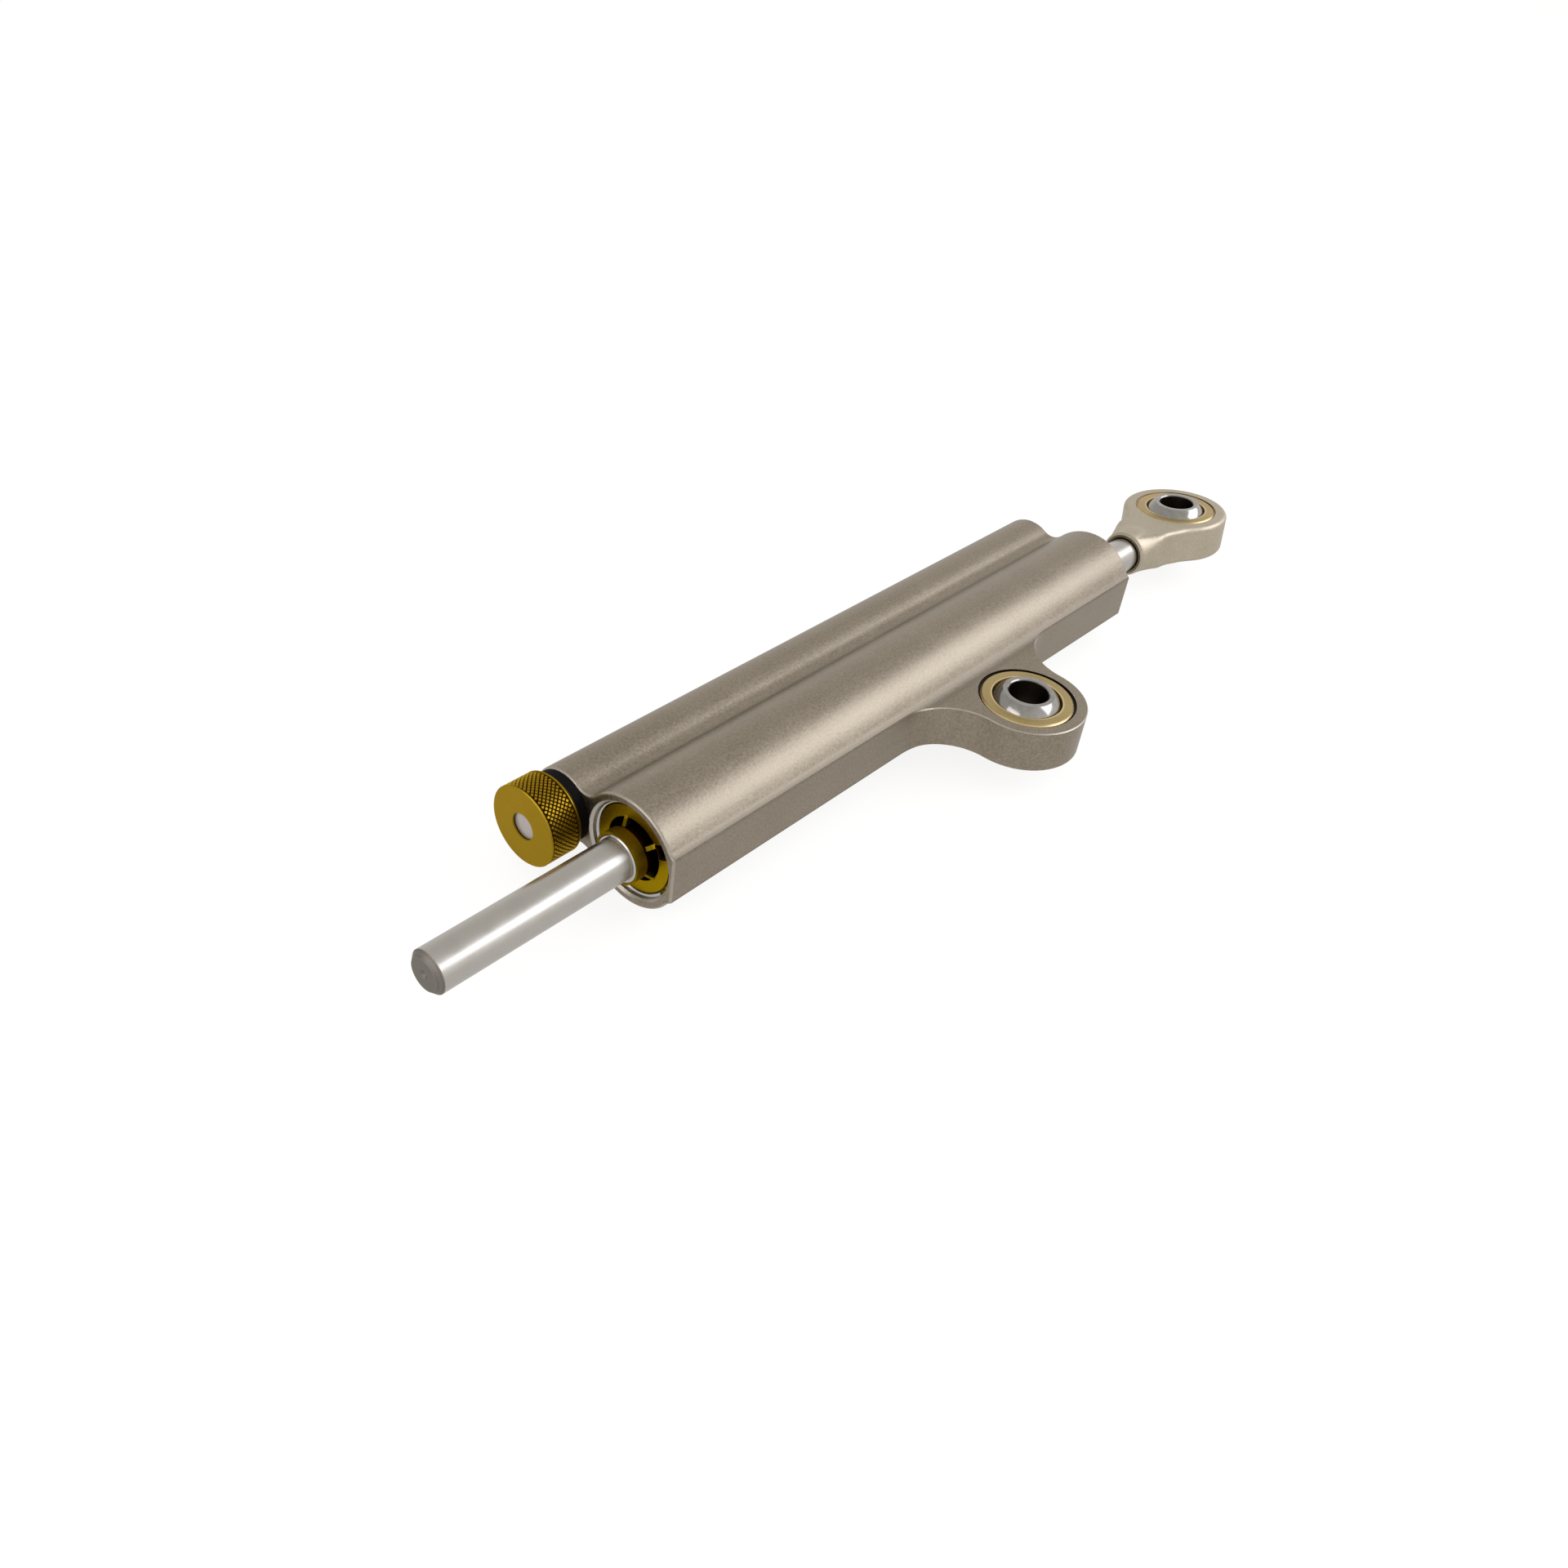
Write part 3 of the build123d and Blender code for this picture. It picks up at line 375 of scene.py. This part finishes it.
def race_finish(name, centre, turn):
    """The race's finish about one bearing: tool lines round its axis, painted highlights on the
    corners and painted shade in the bore.
    """
    paint, tree, shader, place = new_paint(name, 0.36)
    local = tree.nodes.new("ShaderNodeMapping")
    local.vector_type = "TEXTURE"
    local.inputs["Location"].default_value = centre
    local.inputs["Rotation"].default_value = (turn, 0, 0)
    tree.links.new(place, local.inputs["Vector"])
    radius = use_group(tree, round_place, local.outputs[0], (0, 0, 0), across_z)[0]
    tone, height = use_group(tree, grain, local.outputs[0], 0.00018, 0.8, 0.0)
    lines = add(tree, "TexNoise", None, radius, 9000.0, 2.0, noise_dimensions="1D")
    mixed = add(tree, "Math", lines, 0.45, tone, operation="MULTIPLY_ADD")
    olive = blend_color(tree, mixed, (0.24, 0.17, 0.06), (0.52, 0.40, 0.19))
    # painted highlights on the outer and inner corners
    outer = between(tree, radius, race_outer_radius - 0.00028, 0.02, 0.00006)
    inner = between(tree, radius, 0.0, race_inner_radius + 0.00025, 0.00006)
    corner_highlight = add(tree, "Math", outer, inner, operation="MAXIMUM")
    face = blend_color(tree, corner_highlight, olive, (0.72, 0.56, 0.30))
    # painted shade: the bore near black
    bore_shade = between(tree, radius, -1.0, race_inner_radius - 0.00008, 0.00004)
    feed(tree, shader, Base_Color=blend_color(tree, bore_shade, face, (0.05, 0.035, 0.015)))
    relief(tree, shader, lines, 0.000012, 0.5)
    return paint


dress(race_finish("lug race brass", (0, 0, 0), 0.0), "lug_race")


# Lug ball. A ground and chromed steel ball, polished where it swivels. Its bore is painted
# near black as shade, and made rougher.
ball_bore_radius = 0.004


def ball_finish(name, centre, turn):
    """The ball's finish about one bearing: polished outside, with painted shade in the bore."""
    paint, tree, shader, place = new_paint(name, 0.09)
    local = tree.nodes.new("ShaderNodeMapping")
    local.vector_type = "TEXTURE"
    local.inputs["Location"].default_value = centre
    local.inputs["Rotation"].default_value = (turn, 0, 0)
    tree.links.new(place, local.inputs["Vector"])
    radius = use_group(tree, round_place, local.outputs[0], (0, 0, 0), across_z)[0]
    cloud = add(tree, "TexNoise", place, None, 700.0, 3.0, 0.6)
    bright = blend_color(tree, cloud, (0.26, 0.25, 0.235), (0.45, 0.44, 0.42))
    # painted shade: the bore near black
    bore_shade = between(tree, radius, -ball_bore_radius, ball_bore_radius + 0.00012)
    feed(tree, shader, Base_Color=blend_color(tree, bore_shade, bright, (0.055, 0.043, 0.030)))
    haze = add(tree, "MapRange", cloud, 0.3, 0.7, 0.11, 0.18)
    bore_rough = add(tree, "Math", bore_shade, 0.26, haze, operation="MULTIPLY_ADD")
    feed(tree, shader, Roughness=bore_rough)
    return paint


dress(ball_finish("lug ball chrome", (0, 0, 0), 0.0), "lug_ball")


# Rod. One long steel rod, ground and hard chromed so that the seals run on it. Its tip is
# faced off in the lathe after the chrome, so it is greyer and shows the tool's rings.
rod_tip_x = -0.1302
tip_chamfer = 0.00095
chrome, tree, shader, place = new_paint("polished chrome", 0.2)
radius, along = use_group(tree, round_place, place, (rod_tip_x, rod_y, 0), across_x)
cloud = add(tree, "TexNoise", place, None, 260.0, 3.0, 0.6)
bright = blend_color(tree, cloud, (0.45, 0.43, 0.395), (0.54, 0.52, 0.485))
faced = between(tree, along, -0.001, tip_chamfer, 0.00002)
rings = add(tree, "TexNoise", None, radius, 7000.0, 2.0, noise_dimensions="1D")
tip_gray = blend_color(tree, rings, (0.14, 0.125, 0.11), (0.30, 0.275, 0.25))
feed(tree, shader, Base_Color=blend_color(tree, faced, bright, tip_gray))
haze = add(tree, "MapRange", cloud, 0.3, 0.7, 0.24, 0.31)
tip_rough = add(tree, "Math", faced, 0.26, haze, operation="MULTIPLY_ADD")
feed(tree, shader, Roughness=tip_rough)
grooves = add(tree, "Math", rings, faced, operation="MULTIPLY")
relief(tree, shader, grooves, 0.00003, 0.5)
dress(chrome, "rod", "detent_ball")


# Piston group. A turned aluminium piston between two spacer sleeves, held on the rod by
# spring clips. It sits inside the barrel, so only its plain lathe finish is needed.
lathe, tree, shader, place = new_paint("turned aluminium", 0.34)
along = use_group(tree, round_place, place, (0, rod_y, 0), across_x)[1]
lines = add(tree, "TexNoise", None, along, 6000.0, 2.0, noise_dimensions="1D")
tone, height = use_group(tree, grain, place, 0.0002, 0.5, 0.2)
mixed = add(tree, "Math", lines, 0.4, tone, operation="MULTIPLY_ADD")
feed(tree, shader, Base_Color=blend_color(tree, mixed, (0.42, 0.41, 0.39), (0.66, 0.65, 0.62)))
relief(tree, shader, lines, 0.00001, 0.5)
dress(lathe, "piston", "stop_sleeves", "floating_piston", "end_plug", "adjuster_housing")


# Seals and rubber rings. Moulded black nitrile, a little dusty, with a fine matt skin.
# The dust ring between knob and side tube is the only one in view.
rubber, tree, shader, place = new_paint("seal rubber", 0.72, 0.0)
shader.inputs["Specular IOR Level"].default_value = 0.07
tone, height = use_group(tree, grain, place, 0.00025, 0.6, 0.0)
feed(tree, shader, Base_Color=blend_color(tree, tone, (0.003, 0.003, 0.003), (0.009, 0.008, 0.008)))
relief(tree, shader, height, 0.00003, 0.5)
dress(rubber, "near_head_o_ring", "far_head_o_ring", "near_rod_seal", "far_rod_seal", "piston_seal",
      "ring_energiser", "bump_rings", "spindle_o_ring", "housing_o_ring", "dust_ring",
      "floating_o_ring", "end_plug_o_ring")


# Piston ring. A split band of filled plastic, bronze brown. It is sprung into the piston's
# groove, and slides on the barrel's bore.
filled, tree, shader, place = new_paint("filled plastic", 0.48, 0.0)
tone, height = use_group(tree, grain, place, 0.0003, 0.8, 0.0)
feed(tree, shader, Base_Color=blend_color(tree, tone, (0.10, 0.065, 0.030), (0.19, 0.125, 0.060)))
relief(tree, shader, height, 0.00002, 0.4)
dress(filled, "piston_ring")


# Guide bushes and needle seat. Plain bearing bronze, turned and bored, and left as the tool
# leaves it. They are pressed into the seal heads and the side tube.
bronze, tree, shader, place = new_paint("bush bronze", 0.38)
tone, height = use_group(tree, grain, place, 0.0002, 0.7, 0.3)
feed(tree, shader, Base_Color=blend_color(tree, tone, (0.34, 0.23, 0.10), (0.52, 0.37, 0.17)))
relief(tree, shader, height, 0.00001, 0.4)
dress(bronze, "near_guide_bush", "far_guide_bush", "needle_seat")


# Seal heads. Turned aluminium, blasted lightly and anodised gold. The pockets for the pin
# spanner are milled deep, and painted shade makes them and the hub's neck nearly black brown;
# the hub inside the ring gets a lighter painted shade.
pocket_start = 0.0016
pocket_end = 0.0066
pocket_inner, pocket_outer = 0.0044, 0.0063
hub_radius = 0.0059
anodised, tree, shader, place = new_paint("gold anodised", 0.36)
shader.inputs["Specular Tint"].default_value = (1.0, 0.88, 0.45, 1)
tone, height = use_group(tree, grain, place, 0.00022, 0.6, 0.0)
gold = blend_color(tree, tone, (0.29, 0.184, 0.003), (0.44, 0.292, 0.008))
radius, along = use_group(tree, round_place, place, (body_middle_x, rod_y, 0), across_x)
from_middle = add(tree, "Math", along, operation="ABSOLUTE")
depth = add(tree, "Math", body_half_length, from_middle, operation="SUBTRACT")
# painted shade, nearly black, deep in the spanner pockets and on the hub's neck
ring_zone = between(tree, radius, pocket_inner, pocket_outer, 0.00008)
deep = between(tree, depth, pocket_start, pocket_end, 0.0003)
painted_pocket_shade = add(tree, "Math", ring_zone, deep, operation="MULTIPLY")
neck_zone = between(tree, radius, 0.0042, 0.00478, 0.00004)
neck_depth = between(tree, depth, -0.00028, pocket_end, 0.0001)
painted_neck_shade = add(tree, "Math", neck_zone, neck_depth, operation="MULTIPLY")
painted_pocket_shade = add(tree, "Math", painted_pocket_shade, painted_neck_shade, operation="MAXIMUM")
# painted shade on the hub inside the ring
inner = between(tree, radius, -1.0, hub_radius, 0.0001)
shaded = add(tree, "Math", inner, 0.6, operation="MULTIPLY")
gold = blend_color(tree, shaded, gold, (0.115, 0.070, 0.005))
feed(tree, shader, Base_Color=blend_color(tree, painted_pocket_shade, gold, (0.030, 0.014, 0.004)))
feed(tree, shader, Roughness=add(tree, "MapRange", tone, 0.2, 0.8, 0.32, 0.42))
relief(tree, shader, height, 0.00002, 0.5)
dress(anodised, "near_seal_head", "far_seal_head")


# Snap rings, clips, wipers and springs. Hard drawn spring steel wire and strip, bright,
# with the die's fine lines along it. The near ring's open end shows in the barrel's mouth.
spring_steel, tree, shader, place = new_paint("spring steel", 0.24)
tone, height = use_group(tree, grain, place, 0.0001, 0.5, 0.5)
feed(tree, shader, Base_Color=blend_color(tree, tone, (0.42, 0.41, 0.40), (0.66, 0.65, 0.63)))
relief(tree, shader, height, 0.000008, 0.4)
dress(spring_steel, "near_snap_ring", "far_snap_ring", "rod_clips", "detent_spring",
      "end_plug_ring", "near_rod_wiper", "far_rod_wiper")

# the reservoir's spring, with doubled points merged and smooth shaded, goes with the body
coil_mesh = bpy.data.meshes.new("reservoir_coil")
coil = bmesh.new()
coil.from_mesh(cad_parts["reservoir_spring"].data)
bmesh.ops.remove_doubles(coil, verts=coil.verts, dist=0.000001)
coil.to_mesh(coil_mesh)
coil.free()
if "custom_normal" in coil_mesh.attributes:
    coil_mesh.attributes.remove(coil_mesh.attributes["custom_normal"])
coil_mesh.shade_smooth()
coil_mesh.set_sharp_from_angle(angle=math.radians(40))
coil_mesh.materials.append(spring_steel)
coil_piece = bpy.data.objects.new("reservoir_coil", coil_mesh)
scene.collection.objects.link(coil_piece)
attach(coil_piece, "damper_body")
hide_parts("reservoir_spring")
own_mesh(coil_piece)


# Knob screw, spindle and needle. Small turned steel pieces inside the side tube. The screw
# holds the knob on the spindle, whose thread moves the needle.
dress(bare_steel, "knob_screw", "adjuster_spindle", "needle")


# Knob. Turned aluminium with a diamond knurl, anodised gold. Two crossing sets of grooves
# are rolled round its rim, which leaves rows of small four-sided points with pits, painted dark as
# shade.
knob_front_x = -0.0968
knob_back_x = -0.0899
knob_radius = 0.00775
front_land = 0.00008
back_land = 0.00030
step_width = 0.00010
points_around = 50
points_along = 6
knurl_depth = 0.00040
corner_break = 0.0002
back_break = 0.0006
point_inset = 0.00019

cad_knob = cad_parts["knob"]
knob_mesh = bpy.data.meshes.new("knob_knurled")
knob = bmesh.new()
knob.from_mesh(cad_knob.data)
bmesh.ops.remove_doubles(knob, verts=knob.verts, dist=0.000001)


def from_knob_axis(point):
    """How far a point is from the knob's axis."""
    return math.hypot(point.y - side_y, point.z)


# the smooth wall of the CAD knob goes, and leaves two open rims
rim_faces = [face for face in knob.faces
             if all(abs(from_knob_axis(v.co) - knob_radius) < 0.00002 for v in face.verts)]
bmesh.ops.delete(knob, geom=rim_faces, context="FACES")
open_rims = [edge for edge in knob.edges if len(edge.link_faces) == 1]

# the knurl: a grid rolled up, its squares poked and joined into diamonds, each poked again
knurl_start = knob_front_x + corner_break + front_land
knurl_end = knob_back_x - back_break - back_land
first = knob.verts.new((knurl_start, side_y + knob_radius - knurl_depth, 0))
row = [first]
for step in range(1, points_along + 1):
    row_x = knurl_start + (knurl_end - knurl_start) * step / points_along
    row.append(knob.verts.new((row_x, first.co.y, 0)))
row_edges = [knob.edges.new(pair) for pair in zip(row, row[1:])]
before = set(knob.faces)
bmesh.ops.spin(knob, geom=row + row_edges, cent=(0, side_y, 0), axis=(1, 0, 0), dvec=(0, 0, 0),
               angle=2 * math.pi, steps=points_around, use_merge=True)
squares = [face for face in knob.faces if face not in before]
ring_edges = {edge for face in squares for edge in face.edges}
knurl_rims = [edge for edge in ring_edges if len(edge.link_faces) == 1]
cross_edges = [edge for edge in ring_edges if len(edge.link_faces) == 2]
bmesh.ops.poke(knob, faces=squares, offset=0.0)
bmesh.ops.dissolve_edges(knob, edges=cross_edges, use_verts=False)
band = [face for face in knob.faces if face not in before]
pit_radius = knob_radius - knurl_depth


def set_radius(points, radius):
    """Move points straight out from the knob's axis, or in, to this radius."""
    for point in points:
        grow = radius / from_knob_axis(point.co)
        point.co.y = side_y + (point.co.y - side_y) * grow
        point.co.z *= grow


set_radius({vert for face in band for vert in face.verts}, pit_radius)
diamonds = [face for face in band if len(face.verts) == 4]
bmesh.ops.inset_individual(knob, faces=diamonds, thickness=point_inset, depth=0.0)
set_radius({vert for face in diamonds for vert in face.verts}, knob_radius - 0.00001)

# a step up from the pits to a plain land at each end, and the lands meet the CAD's rims
stepped = bmesh.ops.extrude_edge_only(knob, edges=knurl_rims)["geom"]
lands = [part for part in stepped if isinstance(part, bmesh.types.BMEdge)]
land_rims = [edge for edge in lands if len(edge.link_faces) == 1]
land_verts = {vert for edge in land_rims for vert in edge.verts}
set_radius(land_verts, knob_radius)
middle_x = (knurl_start + knurl_end) / 2
for vert in land_verts:
    vert.co.x += math.copysign(step_width, vert.co.x - middle_x)
for side in (-1, 1):
    pair = [edge for edge in open_rims + land_rims if (edge.verts[0].co.x - middle_x) * side > 0]
    bmesh.ops.bridge_loops(knob, edges=pair)
bmesh.ops.remove_doubles(knob, verts=knob.verts, dist=0.0000005)
bmesh.ops.recalc_face_normals(knob, faces=knob.faces)
knob.to_mesh(knob_mesh)
knob.free()
if "custom_normal" in knob_mesh.attributes:
    knob_mesh.attributes.remove(knob_mesh.attributes["custom_normal"])
knob_mesh.shade_smooth()
knob_mesh.set_sharp_from_angle(angle=math.radians(25))
knob_piece = bpy.data.objects.new("knob_knurled", knob_mesh)
scene.collection.objects.link(knob_piece)
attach(knob_piece, "knob")
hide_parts("knob")

knurled, tree, shader, place = new_paint("knurled gold", 0.40)
tone, height = use_group(tree, grain, place, 0.0002, 0.6, 0.0)
radius, along = use_group(tree, round_place, place, (0, side_y, 0), across_x)
shader.inputs["Specular Tint"].default_value = (1.0, 0.88, 0.55, 1)
gold = blend_color(tree, tone, (0.29, 0.180, 0.009), (0.44, 0.282, 0.024))
on_rim = between(tree, along, knurl_start, knurl_end, 0.00006)
# painted shade, darker the deeper a point lies in the knurl's pits
rise = add(tree, "MapRange", radius, pit_radius, knob_radius - 0.00018, 0.0, 1.0)
painted_recess_shade = add(tree, "Math", 1.0, rise, operation="SUBTRACT")
pit_shade = add(tree, "Math", painted_recess_shade, on_rim, operation="MULTIPLY")
feed(tree, shader, Base_Color=blend_color(tree, pit_shade, gold, (0.050, 0.028, 0.003)))
relief(tree, shader, height, 0.000015, 0.5)
knob_mesh.materials.append(knurled)


# Knob plug. A pale disc, punched from sheet and pressed into the knob's centre hole, where
# it covers the screw.
pale, tree, shader, place = new_paint("pale plug", 0.38, 0.55)
tone, height = use_group(tree, grain, place, 0.00035, 0.9, 0.0)
feed(tree, shader, Base_Color=blend_color(tree, tone, (0.46, 0.41, 0.40), (0.60, 0.55, 0.54)))
relief(tree, shader, height, 0.00002, 0.4)
dress(pale, "knob_plug")


# Rod end. A forged and blasted eye with a round shank, screwed on the rod's far end. It is
# a shade yellower than the body, and its own race and ball are like the lug's.
rod_end_place = (0.1004, rod_y, 0)
rod_end_turn = math.radians(-6.5)
forged, tree, shader, place = new_paint("rod end metal", 0.45)
tone, height = use_group(tree, grain, place, 0.00036, 0.7, 0.0)
blasted_steel = blend_color(tree, tone, (0.42, 0.365, 0.275), (0.58, 0.515, 0.41))
facing = tree.nodes.new("ShaderNodeNewGeometry").outputs["Normal"]
# painted shade on faces turned towards -x, the shank's end face
shank_face_shade = between(tree, parts_of(tree, facing)[0], -1.1, -0.75, 0.05)
feed(tree, shader, Base_Color=blend_color(tree, shank_face_shade, blasted_steel, (0.24, 0.20, 0.14)))
feed(tree, shader, Roughness=add(tree, "MapRange", tone, 0.2, 0.8, 0.40, 0.50))
relief(tree, shader, height, 0.00004, 0.5)

# the neck's facets are cut fine, widened at its middle, and smoothed into one sweep
neck_start, neck_end = -0.0229, -0.0082
neck_half_height = 0.0051
neck_half_width = 0.0096
neck_step = 0.0006
neck_middle, neck_reach = -0.0158, 0.0068
neck_widening = 0.20
socket_radius = 0.00436
eye_wall_radius = 0.0102
neck_mesh = bpy.data.meshes.new("rod_end_forged")
forging = bmesh.new()
forging.from_mesh(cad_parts["rod_end_housing"].data)
bmesh.ops.remove_doubles(forging, verts=forging.verts, dist=0.000001)
seat = Matrix.Translation(rod_end_place) @ Matrix.Rotation(rod_end_turn, 4, "X")
bmesh.ops.transform(forging, matrix=seat.inverted(), verts=forging.verts)


def cut_fine(way, start, end, step):
    """Cut the neck's faces by planes across this way, one step apart."""
    place = start
    while place < end:
        faces = [face for face in forging.faces if min(v.co.x for v in face.verts) < neck_end]
        edges = {edge for face in faces for edge in face.edges}
        verts = {vert for face in faces for vert in face.verts}
        bmesh.ops.bisect_plane(forging, geom=[*verts, *edges, *faces], dist=0.0000001,
                               plane_co=Vector(way) * place, plane_no=way)
        place += step


cut_fine((1, 0, 0), neck_start, neck_end + 0.0001, neck_step)
cut_fine((0, 1, 0), -neck_half_width, neck_half_width + 0.0001, neck_step)
cut_fine((0, 0, 1), -neck_half_height, neck_half_height + 0.0001, neck_step)


def neck_skin(start, end):
    """The outer points of the neck from start to end, without the bore and the socket."""
    return [vert for vert in forging.verts
            if start < vert.co.x < end and math.hypot(vert.co.y, vert.co.z) > socket_radius
            and math.hypot(vert.co.x, vert.co.y) > eye_wall_radius]


for vert in neck_skin(neck_start, neck_end):
    share = max(0.0, 1 - ((vert.co.x - neck_middle) / neck_reach) ** 2)
    vert.co.y *= 1 + neck_widening * share * share
for start, end, rounds in ((-0.0225, -0.0090, 10), (-0.0218, -0.0102, 14)):
    for again in range(rounds):
        bmesh.ops.smooth_vert(forging, verts=neck_skin(start, end), factor=0.5,
                              use_axis_x=True, use_axis_y=True, use_axis_z=True)
bmesh.ops.transform(forging, matrix=seat, verts=forging.verts)
bmesh.ops.recalc_face_normals(forging, faces=forging.faces)
forging.to_mesh(neck_mesh)
forging.free()
if "custom_normal" in neck_mesh.attributes:
    neck_mesh.attributes.remove(neck_mesh.attributes["custom_normal"])
neck_mesh.shade_smooth()
neck_mesh.set_sharp_from_angle(angle=math.radians(28))
eye_piece = bpy.data.objects.new("rod_end_forged", neck_mesh)
scene.collection.objects.link(eye_piece)
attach(eye_piece, "rod")
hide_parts("rod_end_housing")
neck_mesh.materials.append(forged)
dress(race_finish("rod end brass", rod_end_place, rod_end_turn), "rod_end_race")
dress(ball_finish("rod end chrome", rod_end_place, rod_end_turn), "rod_end_ball")
